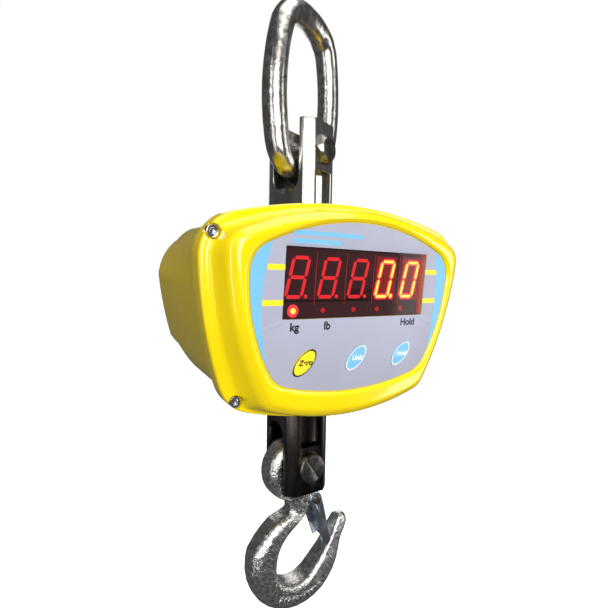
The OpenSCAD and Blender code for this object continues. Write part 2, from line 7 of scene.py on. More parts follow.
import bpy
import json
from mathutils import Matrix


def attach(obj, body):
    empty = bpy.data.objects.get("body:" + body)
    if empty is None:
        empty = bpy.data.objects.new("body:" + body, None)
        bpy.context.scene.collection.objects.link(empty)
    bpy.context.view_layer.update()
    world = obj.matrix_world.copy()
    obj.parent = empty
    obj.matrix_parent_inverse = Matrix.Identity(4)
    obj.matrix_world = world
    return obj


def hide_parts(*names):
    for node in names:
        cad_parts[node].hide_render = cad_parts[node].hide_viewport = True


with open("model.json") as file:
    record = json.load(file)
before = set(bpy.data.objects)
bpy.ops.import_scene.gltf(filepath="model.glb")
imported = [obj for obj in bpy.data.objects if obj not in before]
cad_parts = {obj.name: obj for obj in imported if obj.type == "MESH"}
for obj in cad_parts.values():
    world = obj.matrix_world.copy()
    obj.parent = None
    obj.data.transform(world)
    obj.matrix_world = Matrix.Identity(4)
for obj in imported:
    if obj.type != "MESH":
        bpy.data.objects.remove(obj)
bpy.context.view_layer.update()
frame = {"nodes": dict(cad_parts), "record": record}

import json
import math

import bmesh
import bpy
from mathutils import Matrix, Vector
from mathutils.geometry import intersect_sphere_sphere_2d

# ---------- frames and driving sizes, in millimetres ----------

BAR_R = 11.0
RING_HALF_W, RING_HALF_H = 42.0, 72.0
RING_TOP_R, RING_CORNER_R, RING_SIDE_R = 52.0, 27.0, 190.0
RING_LEAN, RING_TURN = math.radians(2.8), math.radians(22)
BOLT_BELOW_BAR = 8.3
RING_ARM = 72.7
INNER_TOP_R = 41
BOLT_Z = (-RING_ARM * math.cos(RING_LEAN)
          - math.sqrt(INNER_TOP_R ** 2 - (RING_ARM * math.sin(RING_LEAN)) ** 2))
PIN_Z = BOLT_Z - 288
FACE_Z = BOLT_Z - 119
FACE_Y = -92
TILT = math.radians(5)
# Depths behind the display's face
FLANGE_FRONT, FLANGE_BACK = 17, 30
REAR_FRONT = FLANGE_BACK + 1
REAR_FLANGE_BACK = REAR_FRONT + 4
DEPTH = 152
# Thicknesses, insets and radii of the casings
FILM = 0.8
WALL, LAND = 3, 5
REAR_INSET = 5.5
COLLAR_R, COLLAR_BORE_R = 37, 33
SCREW_SPOTS = [(114.8, 32), (93, -87.5)]
WINDOW = (137.5, 51.5)
KEY_PITCH = 48
KEY_DROP = 58

COLUMN = Matrix.Scale(0.001, 4)
RING = COLUMN @ Matrix.Rotation(RING_TURN, 4, "Z")
HOUSING = COLUMN @ Matrix.Translation((0, FACE_Y, FACE_Z)) @ Matrix.Rotation(TILT, 4, "X")
PIN = COLUMN @ Matrix.Translation((0, 0, PIN_Z))


# ---------- camera ----------

def add_camera():
    bpy.ops.object.camera_add(location=(-0.2189, -0.3517, -0.2300))
    camera = bpy.context.object
    camera.name = "camera"
    turn, drop, roll = math.radians(32.65), math.radians(3.15), math.radians(1.01)
    ahead = Vector((math.sin(turn) * math.cos(drop), math.cos(turn) * math.cos(drop), -math.sin(drop)))
    right = ahead.cross(Vector((0, 0, 1))).normalized()
    up = right.cross(ahead)
    leaned_right = right * math.cos(roll) + up * math.sin(roll)
    leaned_up = up * math.cos(roll) - right * math.sin(roll)
    camera.rotation_euler = Matrix((leaned_right, leaned_up, -ahead)).transposed().to_euler()
    camera.data.sensor_width = 36
    camera.data.lens = 25.89
    camera.data.clip_start = 0.01
    bpy.context.scene.camera = camera


# ---------- finishes ----------

def finish_of(name, colour, rough, metal=0.0, coat=0.0, tint=None, tint_scale=60.0, rough_spread=0.0,
              rough_scale=120.0, bump=0.0, bump_scale=300.0, fine=0.0, fine_scale=1500.0,
              fine_reach=0.0001, glow=None, glow_strength=0.0, alpha=1.0, specular=0.5, streak=(1, 1, 1)):
    """A Principled finish whose colour, roughness and relief vary with noise in Object coordinates."""
    material = bpy.data.materials.new(name)
    material.use_nodes = True
    nodes, links = material.node_tree.nodes, material.node_tree.links
    shader = nodes["Principled BSDF"]
    shader.inputs["Base Color"].default_value = (*colour, 1)
    shader.inputs["Roughness"].default_value = rough
    shader.inputs["Metallic"].default_value = metal
    shader.inputs["Coat Weight"].default_value = coat
    shader.inputs["Coat Roughness"].default_value = 0.06
    shader.inputs["Specular IOR Level"].default_value = specular
    shader.inputs["Alpha"].default_value = alpha
    if glow:
        shader.inputs["Emission Color"].default_value = (*glow, 1)
        shader.inputs["Emission Strength"].default_value = glow_strength
    place = nodes.new("ShaderNodeTexCoord")
    stretch = nodes.new("ShaderNodeMapping")
    stretch.inputs["Scale"].default_value = streak
    links.new(place.outputs["Object"], stretch.inputs["Vector"])

    def noise(scale, detail=4.0):
        made = nodes.new("ShaderNodeTexNoise")
        made.inputs["Scale"].default_value = scale
        made.inputs["Detail"].default_value = detail
        links.new(stretch.outputs["Vector"], made.inputs["Vector"])
        return made.outputs["Fac"]

    if tint:
        ramp = nodes.new("ShaderNodeValToRGB")
        ramp.color_ramp.elements[0].position = 0.38
        ramp.color_ramp.elements[0].color = (*tint, 1)
        ramp.color_ramp.elements[1].position = 0.62
        ramp.color_ramp.elements[1].color = (*colour, 1)
        links.new(noise(tint_scale), ramp.inputs["Fac"])
        links.new(ramp.outputs["Color"], shader.inputs["Base Color"])
    if rough_spread:
        spread = nodes.new("ShaderNodeMapRange")
        spread.inputs["From Min"].default_value = 0.3
        spread.inputs["From Max"].default_value = 0.7
        spread.inputs["To Min"].default_value = max(0.02, rough - rough_spread)
        spread.inputs["To Max"].default_value = rough + rough_spread
        links.new(noise(rough_scale), spread.inputs["Value"])
        links.new(spread.outputs["Result"], shader.inputs["Roughness"])
    relief = None
    for strength, scale, reach in ((bump, bump_scale, 0.0006), (fine, fine_scale, fine_reach)):
        if strength:
            step = nodes.new("ShaderNodeBump")
            step.inputs["Strength"].default_value = strength
            step.inputs["Distance"].default_value = reach
            links.new(noise(scale), step.inputs["Height"])
            if relief:
                links.new(relief, step.inputs["Normal"])
            relief = step.outputs["Normal"]
    if relief:
        links.new(relief, shader.inputs["Normal"])
    return material


YELLOW = finish_of("yellow_enamel", (1.0, 0.76, 0.0), 0.22, coat=0.6, tint=(0.98, 0.73, 0.0), tint_scale=25,
                   rough_spread=0.04, bump=0.05, bump_scale=220, fine=0.03)
PLATED_RING = finish_of("plated_bar", (0.72, 0.69, 0.65), 0.16, metal=1, tint=(0.45, 0.42, 0.38),
                        tint_scale=160, rough_spread=0.06, bump=0.5, bump_scale=150, fine=0.7,
                        fine_scale=800, fine_reach=0.0003)
PLATED_BLOCK = finish_of("plated_block", (0.58, 0.57, 0.55), 0.2, metal=1, tint=(0.38, 0.36, 0.34),
                         tint_scale=90, rough_spread=0.06, bump=0.1, bump_scale=260, fine=0.15,
                         streak=(1, 1, 0.15))
FORGING = finish_of("plated_forging", (0.88, 0.85, 0.81), 0.2, metal=1, tint=(0.5, 0.48, 0.45),
                    tint_scale=320, rough_spread=0.08, bump=0.5, bump_scale=330, fine=1.0,
                    fine_scale=750, fine_reach=0.0005)
# The lower clevis's plating, darkened into painted shade for the dark surroundings its faces reflect.
SHADED_PLATED_BLOCK = finish_of("plated_block_painted_shade", (0.1, 0.085, 0.075), 0.24, metal=1, tint=(0.035, 0.03, 0.027),
                       tint_scale=90, rough_spread=0.08, bump=0.1, bump_scale=260, fine=0.2,
                       streak=(1, 1, 0.2))
ZINC = finish_of("zinc_plate", (0.3, 0.28, 0.25), 0.27, metal=1, tint=(0.14, 0.13, 0.12), tint_scale=140,
                 rough_spread=0.08, bump=0.1, bump_scale=500, fine=0.15)
BRIGHT_SCREW = finish_of("bright_screw", (0.78, 0.78, 0.78), 0.14, metal=1, rough_spread=0.05, fine=0.1)
LATCH_SHEET = finish_of("latch_sheet", (0.62, 0.67, 0.74), 0.24, metal=1, tint=(0.5, 0.55, 0.62),
                        tint_scale=120, rough_spread=0.08, bump=0.1, fine=0.15)
ALLOY = finish_of("machined_alloy", (0.78, 0.78, 0.8), 0.32, metal=1, rough_spread=0.06, fine=0.3,
                  streak=(1, 1, 0.1))
BLACK_STEEL = finish_of("black_steel", (0.1, 0.1, 0.11), 0.35, metal=1, rough_spread=0.08, fine=0.2)
BRONZE = finish_of("bronze", (0.7, 0.48, 0.22), 0.3, metal=1, rough_spread=0.08, fine=0.2)
RUBBER = finish_of("black_rubber", (0.02, 0.02, 0.02), 0.6, rough_spread=0.1, fine=0.3)
FILM_GREY = finish_of("film_grey", (0.42, 0.43, 0.53), 0.38, tint=(0.41, 0.42, 0.52), tint_scale=40,
                      rough_spread=0.05, fine=0.12, fine_scale=2500)
FILM_BLUE = finish_of("film_light_blue", (0.2, 0.55, 0.83), 0.38, tint=(0.19, 0.53, 0.81), tint_scale=40,
                      rough_spread=0.05, fine=0.12, fine_scale=2500)
FILM_YELLOW = finish_of("film_yellow", (1.0, 0.83, 0.02), 0.38, tint=(0.98, 0.81, 0.02), tint_scale=40,
                        rough_spread=0.05, fine=0.12, fine_scale=2500)
INK_NAVY = finish_of("ink_navy", (0.004, 0.004, 0.02), 0.4, rough_spread=0.05, fine=0.1)
INK_WHITE = finish_of("ink_white", (0.9, 0.93, 0.95), 0.4, rough_spread=0.05, fine=0.1)
FILTER = finish_of("red_filter", (0.03, 0.004, 0.006), 0.07, rough_spread=0.02, fine=0.05, alpha=0.3,
                   specular=0.35)
# The dark face behind the digits and lamps carries a faint painted red glow.
DIGIT_FACE = finish_of("digit_face", (0.028, 0.006, 0.007), 0.5, tint=(0.02, 0.004, 0.005), tint_scale=300,
                       rough_spread=0.1, glow=(0.5, 0.04, 0.05), glow_strength=0.03)
# Unlit segments carry a painted red glow, though they are no lamp.
SEGMENT_UNLIT_PAINTED_GLOW = finish_of("segment_unlit_painted_glow", (0.75, 0.01, 0.015), 0.5, rough_spread=0.1, glow=(1, 0.02, 0.03),
                        glow_strength=0.6)
SEGMENT_LIT = finish_of("segment_lit", (1.0, 0.5, 0.1), 0.5, rough_spread=0.1, glow=(1.0, 0.66, 0.05),
                        glow_strength=2.0)
# A painted glow halo: grown copies behind the lit segments, the lit point and the lit lamp.
SEGMENT_HALO_PAINTED_GLOW = finish_of("segment_glow", (1.0, 0.05, 0.05), 0.5, rough_spread=0.1, glow=(1.0, 0.02, 0.03),
                         glow_strength=1.7)
# Module seams and unlit lamps carry a painted red glow, though they are no lamp.
SEAM_RED_PAINTED_GLOW = finish_of("module_seam_painted_glow", (0.5, 0.01, 0.01), 0.5, rough_spread=0.1, glow=(0.8, 0.01, 0.01),
                     glow_strength=0.35)
HALO_RED = finish_of("lit_module_red", (0.2, 0.01, 0.01), 0.5, rough_spread=0.1, glow=(0.6, 0.006, 0.012),
                     glow_strength=0.25)
BOARD = finish_of("circuit_board", (0.01, 0.12, 0.05), 0.35, tint=(0.02, 0.2, 0.08), tint_scale=300,
                  rough_spread=0.1, fine=0.2)
WHITE_PLASTIC = finish_of("white_plastic", (0.82, 0.82, 0.8), 0.4, rough_spread=0.08, fine=0.1)
BLACK_PLASTIC = finish_of("black_plastic", (0.02, 0.02, 0.022), 0.42, rough_spread=0.1, fine=0.2)
SLEEVE = finish_of("battery_sleeve", (0.03, 0.12, 0.42), 0.3, rough_spread=0.08, fine=0.15)
LEAD_BLACK = finish_of("lead_black", (0.02, 0.02, 0.02), 0.45, rough_spread=0.1, fine=0.2)
LEAD_RED = finish_of("lead_red", (0.5, 0.02, 0.02), 0.45, rough_spread=0.1, fine=0.2)

SLOT_FINISH = {
    "plated_steel": PLATED_RING, "plated_block": PLATED_BLOCK, "plated_forging": FORGING,
    "zinc_bolt": ZINC, "screw_chrome": BRIGHT_SCREW, "latch_sheet": LATCH_SHEET, "alloy_cell": ALLOY,
    "dark_steel": BLACK_STEEL, "bronze": BRONZE, "yellow_paint": YELLOW, "black_rubber": RUBBER,
    "overlay_grey": FILM_GREY, "window_red": FILTER, "led_red": DIGIT_FACE, "board_green": BOARD,
    "white_plastic": WHITE_PLASTIC, "black_plastic": BLACK_PLASTIC, "battery_wrap": SLEEVE,
    "lead_black": LEAD_BLACK, "lead_red": LEAD_RED, "key_yellow": FILM_YELLOW, "key_blue": FILM_BLUE,
}
NODE_SLOT = {part["node"]: part["material_slot"] for part in frame["record"]["subparts"]}


def dress_cad_nodes():
    for name, node in frame["nodes"].items():
        node.data.materials.clear()
        node.data.materials.append(SLOT_FINISH[NODE_SLOT[name]])


# ---------- modelling helpers ----------

def only(piece):
    """Selects this piece alone and makes it the active one."""
    bpy.ops.object.select_all(action="DESELECT")
    piece.select_set(True)
    bpy.context.view_layer.objects.active = piece
    return piece


def started(name):
    """The primitive that was just added, named."""
    piece = bpy.context.object
    piece.name = name
    piece.data.name = name
    return only(piece)


def editing(piece, mode="VERT"):
    only(piece)
    bpy.ops.object.mode_set(mode="EDIT")
    bpy.ops.mesh.select_mode(type=mode)
    bpy.ops.mesh.select_all(action="SELECT")
    return bmesh.from_edit_mesh(piece.data)


def done(piece):
    bpy.ops.object.mode_set(mode="OBJECT")
    return piece


def tidy(piece, merge=0.0005):
    """Merges doubles and turns every face outwards."""
    editing(piece)
    bpy.ops.mesh.remove_doubles(threshold=merge)
    bpy.ops.mesh.normals_make_consistent(inside=False)
    return done(piece)


def modified(piece, kind, **settings):
    """Adds a modifier and applies it."""
    only(piece)
    step = piece.modifiers.new(kind.lower(), kind)
    for setting, value in settings.items():
        setattr(step, setting, value)
    bpy.ops.object.modifier_apply(modifier=step.name)
    return piece


def bevelled(piece, width, segments=3, angle=30):
    return modified(piece, "BEVEL", width=width, segments=segments, limit_method="ANGLE",
                    angle_limit=math.radians(angle))


def cut(piece, *tools):
    """Takes the tools' shapes out of the piece and removes the tools."""
    for tool in tools:
        modified(piece, "BOOLEAN", operation="DIFFERENCE", object=tool, solver="EXACT")
        bpy.data.objects.remove(tool)
    return piece


def joined(pieces, name):
    only(pieces[0])
    for piece in pieces:
        piece.select_set(True)
    bpy.ops.object.join()
    return started(name)


def smooth(piece, angle=35):
    only(piece)
    bpy.ops.object.shade_smooth_by_angle(angle=math.radians(angle))
    return piece


def settle(piece, place, material, body, nodes=()):
    """Puts a piece made in millimetres in its place, with its finish, body and CAD nodes."""
    piece.matrix_world = place @ piece.matrix_world
    only(piece)
    bpy.ops.object.transform_apply(location=True, rotation=True, scale=True)
    if material:
        piece.data.materials.clear()
        piece.data.materials.append(material)
    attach(piece, body)
    if nodes:
        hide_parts(*nodes)
    return piece


def loft(name, rings, ends=False):
    """A circle extruded from ring to ring. Each ring is a list of as many points; the last ring
    meets the first unless the ends are closed with faces."""
    count = len(rings[0])
    bpy.ops.object.select_all(action="DESELECT")
    bpy.ops.mesh.primitive_circle_add(vertices=count, radius=1)
    piece = started(name)
    mesh = editing(piece)
    turn = mesh.verts.layers.int.new("turn")
    for number, vertex in enumerate(mesh.verts):
        vertex[turn] = number
    for level, ring in enumerate(rings):
        if level:
            bpy.ops.mesh.extrude_edges_move()
        mesh = bmesh.from_edit_mesh(piece.data)
        turn = mesh.verts.layers.int["turn"]
        for vertex in mesh.verts:
            if vertex.select:
                vertex.co = ring[vertex[turn]]
        bmesh.update_edit_mesh(piece.data)
    if ends:
        bpy.ops.mesh.edge_face_add()
        bpy.ops.mesh.select_all(action="DESELECT")
        bpy.ops.mesh.select_non_manifold()
        bpy.ops.mesh.edge_face_add()
    done(piece)
    return tidy(piece)


def eased(points, steps=6):
    """A profile's points with each corner that has a reach turned into a curve of that reach."""
    out = []
    for number, (place, reach) in enumerate(points):
        if not reach:
            out.append(place)
            continue
        before, after = points[number - 1][0], points[(number + 1) % len(points)][0]
        start = place + (before - place).normalized() * min(reach, 0.45 * (before - place).length)
        end = place + (after - place).normalized() * min(reach, 0.45 * (after - place).length)
        for step in range(steps + 1):
            s = step / steps
            out.append(start * (1 - s) ** 2 + place * 2 * s * (1 - s) + end * s * s)
    return out


def softened(node, name, width, segments=3, dissolve=2.0):
    """A copy of a CAD node with its loose triangles merged and its edges rounded."""
    source = frame["nodes"][node]
    piece = bpy.data.objects.new(name, source.data.copy())
    bpy.context.collection.objects.link(piece)
    only(piece)
    bpy.ops.mesh.customdata_custom_splitnormals_clear()
    editing(piece)
    bpy.ops.mesh.remove_doubles(threshold=0.00001)
    bpy.ops.mesh.dissolve_limited(angle_limit=math.radians(dissolve))
    done(piece)
    if width:
        bevelled(piece, width / 1000, segments)
    return smooth(piece, 40)


def carried(node, name, body, width, material=None, segments=3, dissolve=2.0):
    piece = softened(node, name, width, segments, dissolve)
    slot = NODE_SLOT[node]
    return settle(piece, Matrix(), material or SLOT_FINISH[slot], body, [node])


# ---------- the face's outlines ----------

TURNS = 240
MIDDLE = Vector((0, -6))


def reach_to_circle(centre, radius, way):
    off = MIDDLE - centre
    along = off.dot(way)
    return -along + math.sqrt(max(0.0, along * along - off.length_squared + radius * radius))


def face_outline(half_w, widest, top, bottom, top_r, side_r, bottom_r, corner_r):
    """The reach of a rounded four-arc outline from the middle, as a function of angle and inset."""
    side = (Vector((half_w - side_r, widest)), side_r)
    ends = [(Vector((0, top - top_r)), top_r), (Vector((0, bottom_r - bottom)), bottom_r)]
    corners = []
    for end in ends:
        found = intersect_sphere_sphere_2d(side[0], side_r - corner_r, end[0], end[1] - corner_r)
        centre = max((point for point in found), key=lambda point: point.x)
        touches = [c + (centre - c).normalized() * r - MIDDLE for c, r in (side, end)]
        corners.append((centre, sorted(math.atan2(t.y, t.x) for t in touches)))

    def reach(angle, inset=0.0):
        way = Vector((abs(math.cos(angle)), math.sin(angle)))
        folded = math.atan2(way.y, way.x)
        for centre, (low, high) in corners:
            if low < folded < high:
                return reach_to_circle(centre, corner_r - inset, way)
        return min(reach_to_circle(c, r - inset, way) for c, r in (side, *ends))

    return reach


FLANGE = face_outline(124.8, 40, 60, 109, 385, 360, 305, 32)
BACK = face_outline(124.8, 40, 60, 109, 385, 360, 305, 46)
FOOT = face_outline(116, 36, 55, 106.5, 300, 300, 260, 22)
CROWN = face_outline(109, 36, 53, 103, 270, 253, 215, 17)
LIP = face_outline(95, 6, 46, 83.5, 190, 140, 235, 22)


def window_reach(angle, inset=0.0):
    """The reach to the window opening's edge."""
    x, w = math.cos(angle), math.sin(angle)
    half_w, half_h = WINDOW[0] / 2 - inset, WINDOW[1] / 2 - inset
    side = half_w / max(1e-6, abs(x))
    end = (half_h - MIDDLE.y) / w if w > 1e-6 else (half_h + MIDDLE.y) / max(1e-6, -w)
    return min(side, end)


def on_face(angle, reach, depth):
    """A point of the housing, by its angle and reach from the middle and its depth behind the face."""
    return Vector((MIDDLE.x + reach * math.cos(angle), depth, MIDDLE.y + reach * math.sin(angle)))


def face_angles():
    return [2 * math.pi * (k + 0.5) / TURNS for k in range(TURNS)]


def cap(profile_of, name):
    """Lofts a profile, given per angle as (reach, depth) points, round the face."""
    columns = []
    for angle in face_angles():
        columns.append([on_face(angle, p.x, p.y) for p in profile_of(angle)])
    return loft(name, [list(ring) for ring in zip(*columns)])


# ---------- housing ----------

def front_shell():
    """The front casting: flange, sloping wall, raised rim and the seat under the overlay."""
    def profile(a):
        loop = [
            (Vector((FLANGE(a), FLANGE_BACK)), 0), (Vector((FLANGE(a), FLANGE_FRONT)), 3.2),
            (Vector((FOOT(a) + 1, FLANGE_FRONT)), 4.5), (Vector((CROWN(a) + 1.8, 2)), 3.4),
            (Vector((CROWN(a, 4.5), -2)), 2.4), (Vector((LIP(a) + 3.4, -1.9)), 1.6),
            (Vector((LIP(a) + 0.8, -0.5)), 0.4), (Vector((LIP(a) + 0.4, FILM)), 0),
            (Vector((window_reach(a), FILM)), 0), (Vector((window_reach(a), FILM + WALL)), 0),
            (Vector((CROWN(a, 4), FILM + WALL)), 0),
            (Vector((FOOT(a, WALL + LAND), FLANGE_BACK)), 0),
        ]
        points = eased(loop)
        return points + [points[0]]

    shell = cap(profile, "front_shell")
    holes = []
    for x, w in [(s * x, w) for x, w in SCREW_SPOTS for s in (-1, 1)]:
        bpy.ops.mesh.primitive_cylinder_add(vertices=48, radius=2.9, depth=40, location=(x, 16, w),
                                            rotation=(math.pi / 2, 0, 0))
        holes.append(started("hole"))
        bpy.ops.mesh.primitive_cone_add(vertices=48, radius1=5.2, radius2=6.4, depth=20,
                                        location=(x, 12.5, w), rotation=(math.pi / 2, 0, 0))
        holes.append(started("dimple"))
    for k in (-1, 0, 1):
        bpy.ops.mesh.primitive_cylinder_add(vertices=64, radius=12.4, depth=8,
                                            location=(k * KEY_PITCH, 2, -KEY_DROP),
                                            rotation=(math.pi / 2, 0, 0))
        holes.append(leaning(started("hole")))
    cut(shell, *holes)
    smooth(shell, 30)
    settle(shell, HOUSING, YELLOW, "housing", ["front_shell"])


def leaning(piece, grow=0.0):
    """Turns a round piece of 12 mm radius into the keys' leaning oval, about its own centre."""
    only(piece)
    bpy.ops.object.transform_apply(location=False, rotation=True, scale=True)
    wide = (12 + grow) / 12
    piece.scale = (wide, 1, (6.6 + grow) / 6.6 * 0.55)
    bpy.ops.object.transform_apply(location=False, rotation=True, scale=True)
    piece.rotation_euler = (0, -math.radians(45), 0)
    bpy.ops.object.transform_apply(location=False, rotation=True, scale=True)
    return piece


def along_line(line, depth):
    """A line's height at a depth."""
    for (v0, w0), (v1, w1) in zip(line, line[1:]):
        if depth <= v1:
            return w0 + (w1 - w0) * (depth - v0) / (v1 - v0)
    return line[-1][1]


# The housing's underside as (depth, height) and how far its roof has fallen as (depth, fall)
UNDERSIDE = [(0, -112), (84, -103.5), (100, -92.5), (110, -84), (122, -73), (133, -69.5), (147, -67.5),
             (152, -64)]
ROOF_DROP = [(0, 0), (35, 0), (152, 7)]


def rear_section(depth, inset):
    """One section across the rear shell, its roof falling and its floor rising towards the back."""
    ring = []
    floor = sum(along_line(UNDERSIDE, depth + d) for d in (-4, -2, 0, 2, 4)) / 5 + inset - REAR_INSET
    fall = along_line(ROOF_DROP, depth)
    backward = min(1.0, max(0.0, (depth - REAR_FLANGE_BACK) / 115))
    for angle in face_angles():
        reach = FLANGE(angle, inset) * (1 - backward) + BACK(angle, inset) * backward
        lift = math.sin(angle)
        if lift > 0:
            reach -= fall * min(1.0, lift / 0.3) / max(lift, 0.6)
        elif lift < -0.02:
            line = (floor - MIDDLE.y) / lift
            blend = 7.0
            near = max(blend - abs(reach - line), 0) / blend
            reach = min(reach, line) - near * near * blend / 4
        ring.append(on_face(angle, reach, depth))
    return ring


def rear_shell():
    """The deep rear casting, lofted back from its own flange, with collars round the column."""
    rounding, back, start = 7.0, DEPTH, REAR_FLANGE_BACK + 1.2
    depths = [start + (back - rounding - start) * k / 30 for k in range(31)]
    depths += [back - rounding + rounding * math.sin(math.radians(6 * k)) for k in range(1, 16)]

    def inset_at(depth, wall):
        into = max(0.0, depth - (back - rounding)) / rounding
        return REAR_INSET + wall + rounding * (1 - math.sqrt(max(0.0, 1 - into * into)))

    outer = [[on_face(a, FLANGE(a, inset), depth) for a in face_angles()]
             for inset, depth in ((1, REAR_FRONT), (1, REAR_FLANGE_BACK - 0.8), (1.8, REAR_FLANGE_BACK),
                                  (4.6, REAR_FLANGE_BACK))]
    outer += [rear_section(depth, inset_at(depth, 0)) for depth in depths]
    shell = loft("rear_shell", outer, ends=True)
    inner = [[on_face(a, FLANGE(a, REAR_INSET + WALL), FLANGE_BACK) for a in face_angles()]]
    inner += [rear_section(min(depth, back - WALL), inset_at(depth, WALL)) for depth in depths[:-6]]
    hollow = loft("hollow", inner, ends=True)
    cut(shell, hollow)

    level = Matrix.Rotation(-TILT, 4, "X") @ Matrix.Translation((0, -FACE_Y, -FACE_Z))
    tubes, bores = [], []
    for low, high in ((FACE_Z + 50, FACE_Z + 66), (FACE_Z - 101.5, FACE_Z - 48.5)):
        for radius, extra, group in ((COLLAR_R, 0, tubes), (COLLAR_BORE_R, 30, bores)):
            bpy.ops.mesh.primitive_cylinder_add(vertices=96, radius=radius, depth=high - low + extra,
                                                location=(0, 0, (low + high) / 2))
            tube = started("collar")
            if group is tubes:
                bevelled(tube, 1.2)
            tube.matrix_world = level @ tube.matrix_world
            group.append(tube)
    for tube in tubes:
        modified(shell, "BOOLEAN", operation="UNION", object=tube, solver="EXACT")
        bpy.data.objects.remove(tube)
    bpy.ops.mesh.primitive_cube_add(size=1, location=(0, DEPTH, 8), scale=(116, 20, 38))
    bores.append(started("door_opening"))
    bpy.ops.mesh.primitive_cylinder_add(vertices=48, radius=6.2, depth=20, location=(88, DEPTH, 6),
                                        rotation=(math.pi / 2, 0, 0))
    bores.append(started("socket_opening"))
    cut(shell, *bores)
    smooth(shell, 30)
    settle(shell, HOUSING, YELLOW, "housing", ["rear_shell"])


def gasket():
    def profile(a):
        outside, inside = FLANGE(a, 1.5), FOOT(a, WALL + LAND)
        loop = [Vector((outside, FLANGE_BACK)), Vector((outside, REAR_FRONT)),
                Vector((inside, REAR_FRONT)), Vector((inside, FLANGE_BACK))]
        return loop + [loop[0]]

    piece = smooth(cap(profile, "gasket"), 30)
    settle(piece, HOUSING, RUBBER, "housing", ["housing_gasket"])


def overlay():
    """The printed film: grey field, light blue crescents and bars, yellow stripes, flush in the rim."""
    def profile(a):
        edge, hole = LIP(a) - 0.1, window_reach(a)
        loop = [(Vector((edge, FILM)), 0), (Vector((edge, 0)), 0.25), (Vector((hole, 0)), 0.2),
                (Vector((hole, FILM)), 0)]
        points = eased(loop, 3)
        return points + [points[0]]

    film = cap(profile, "overlay_film")
    holes = []
    for k in (-1, 0, 1):
        bpy.ops.mesh.primitive_cylinder_add(vertices=96, radius=12, depth=8,
                                            location=(k * KEY_PITCH, 0, -KEY_DROP),
                                            rotation=(math.pi / 2, 0, 0))
        holes.append(leaning(started("hole"), 0.3))
    cut(film, *holes)
    smooth(film, 30)
    settle(film, HOUSING, FILM_GREY, "housing", ["overlay"])
    for side, edge, mid_w, radius in ((-1, 85.4, -14, 150), (1, 83.5, -12, 230)):
        crescent(side, edge, mid_w, radius)
    stripes()
    bars()


def crescent(side, edge, mid_w, radius):
    """A light blue crescent printed along one side of the film."""
    bpy.ops.object.select_all(action="DESELECT")
    bpy.ops.mesh.primitive_circle_add(vertices=TURNS, radius=1, fill_type="NGON")
    name = "crescent_left" if side < 0 else "crescent_right"
    piece = started(name)
    mesh = editing(piece)
    for vertex in mesh.verts:
        angle = math.atan2(vertex.co.y, vertex.co.x)
        vertex.co = on_face(angle, LIP(angle) - 0.35, 0)
    bmesh.update_edit_mesh(piece.data)
    bpy.ops.mesh.extrude_region_move(TRANSFORM_OT_translate={"value": (0, -0.06, 0)})
    done(piece)
    tidy(piece)
    bpy.ops.mesh.primitive_cylinder_add(vertices=360, radius=radius, depth=6,
                                        location=(side * (edge - radius), 0, mid_w),
                                        rotation=(math.pi / 2, 0, 0))
    cut(piece, started("field"))
    smooth(piece, 30)
    settle(piece, HOUSING, FILM_BLUE, "housing")


def stripes():
    """Yellow stripes from the window's sides to the crescents."""
    made = []
    for low, high in ((9.0, 12.9), (-15.6, -11.6)):
        for side, end in ((-1, -82.2 if high > 0 else -85), (1, 83.4 if high > 0 else 83.8)):
            start = side * WINDOW[0] / 2
            bpy.ops.mesh.primitive_cube_add(size=1, location=((start + end) / 2, -0.03, (low + high) / 2),
                                            scale=(abs(end - start), 0.06, high - low))
            bar = started("stripe")
            bpy.ops.object.transform_apply(location=False, rotation=False, scale=True)
            made.append(bar)
    piece = joined(made, "overlay_stripes")
    bevelled(piece, 0.02, 1)
    settle(piece, HOUSING, FILM_YELLOW, "housing")


def bars():
    """Two plain light blue bars above the window."""
    made = []
    for start, end, mid in ((-64, -2, 35.4), (-64, -22, 29.6)):
        bpy.ops.mesh.primitive_cube_add(size=1, location=((start + end) / 2, -0.03, mid),
                                        scale=(end - start, 0.06, 3.2))
        bar = started("bar")
        bpy.ops.object.transform_apply(location=False, rotation=False, scale=True)
        made.append(bar)
    piece = joined(made, "overlay_bars")
    bevelled(piece, 0.02, 1)
    settle(piece, HOUSING, FILM_BLUE, "housing")


def lettering(name, words, material, body="housing"):
    """Printed words, each (text, x, w, size, depth, lean), as one piece."""
    made = []
    for text, x, w, size, depth, lean in words:
        bpy.ops.object.select_all(action="DESELECT")
        bpy.ops.object.text_add(rotation=(math.pi / 2, 0, 0), location=(x, depth, w))
        word = bpy.context.object
        word.data.body = text
        word.data.size = size
        word.data.extrude = 0.03
        word.data.offset = size * 0.035
        word.data.shear = lean
        word.data.align_x = "CENTER"
        word.data.align_y = "CENTER"
        bpy.ops.object.convert(target="MESH")
        made.append(bpy.context.object)
    piece = joined(made, name)
    bpy.ops.object.transform_apply(location=True, rotation=True, scale=True)
    tidy(piece, 0.0001)
    settle(piece, HOUSING, material, body)


# ---------- display ----------

GLYPH_H, GLYPH_W, STROKE = 30.5, 15.6, 2.6
SLANT = math.tan(math.radians(11))
GLYPH_MID_W = 4.0
MODULE = WINDOW[0] / 5
LIT = {3: "abcdef.", 4: "abcdef"}


def bar_ends():
    """Each segment's two ends, from the glyph's centre, by its usual letter."""
    x, w = (GLYPH_W - STROKE) / 2, (GLYPH_H - STROKE) / 2
    return {"a": ((-x, w), (x, w)), "b": ((x, w), (x, 0)), "c": ((x, 0), (x, -w)),
            "d": ((x, -w), (-x, -w)), "e": ((-x, -w), (-x, 0)), "f": ((-x, 0), (-x, w)),
            "g": ((-x, 0), (x, 0))}


